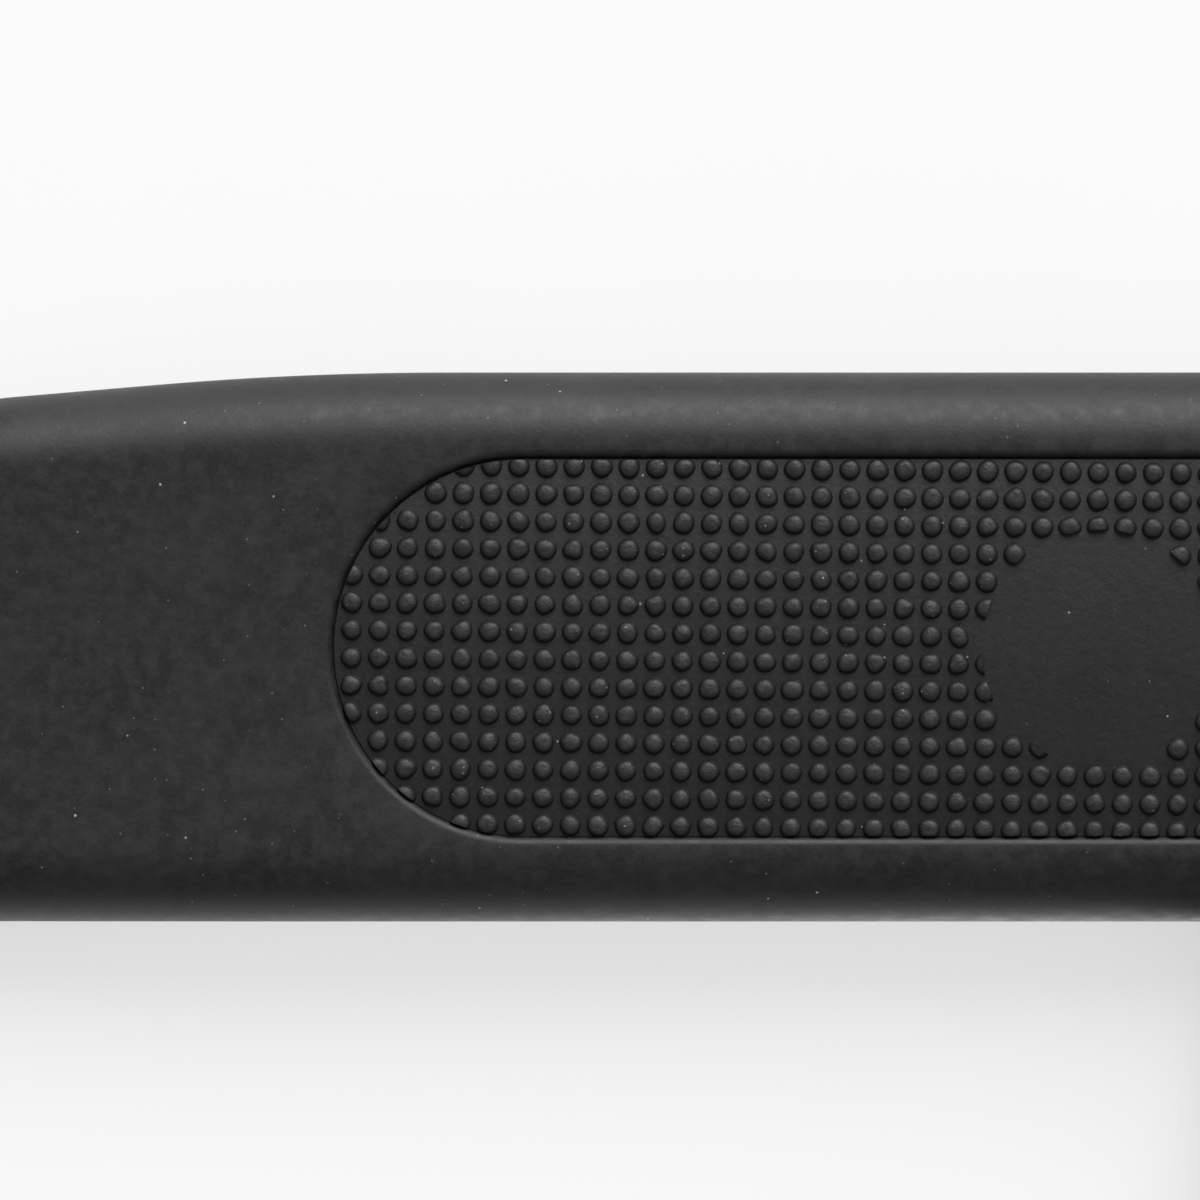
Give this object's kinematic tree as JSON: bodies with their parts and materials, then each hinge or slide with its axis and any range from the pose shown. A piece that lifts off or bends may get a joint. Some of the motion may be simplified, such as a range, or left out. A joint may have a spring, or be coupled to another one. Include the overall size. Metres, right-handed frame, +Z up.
{
  "type": "running board",
  "caption": "Long moulded vehicle running board with recessed nubbed rubber step pads, carried on lipped steel rails, cross members and bolt-on L-shaped brackets.",
  "frame": {"origin": "centre of the bounding box in X and Y, on the plane the bracket arms stand on", "axes": "+X along the vehicle towards the front end, +Y away from the vehicle, +Z up"},
  "size_m": [1.83, 0.258, 0.13],
  "materials": {
    "board_plastic": "fine-textured moulded black plastic",
    "pad_rubber": "soft black moulded rubber with a slight sheen",
    "rail_steel": "roll-formed galvanised steel",
    "bracket_paint": "black powder coat",
    "fastener_zinc": "bright zinc plate",
    "plug_plastic": "plain black plastic"
  },
  "bodies": {
    "root": {"board_shell": "board_plastic", "bracket_front": "bracket_paint", "bracket_middle": "bracket_paint", "bracket_rear": "bracket_paint", "channel_bolts": "fastener_zinc", "channel_nuts": "fastener_zinc", "channel_washers": "fastener_zinc", "cross_member_1": "rail_steel", "cross_member_2": "rail_steel", "cross_member_3": "rail_steel", "cross_member_4": "rail_steel", "cross_member_5": "rail_steel", "cross_member_6": "rail_steel", "cross_member_7": "rail_steel", "gussets_front": "bracket_paint", "gussets_middle": "bracket_paint", "gussets_rear": "bracket_paint", "pad_push_nuts": "fastener_zinc", "rail_end_plugs": "plug_plastic", "rail_inboard": "rail_steel", "rail_outboard": "rail_steel", "shell_screws": "fastener_zinc", "step_pad_front": "pad_rubber", "step_pad_rear": "pad_rubber"}
  },
  "joints": []
}
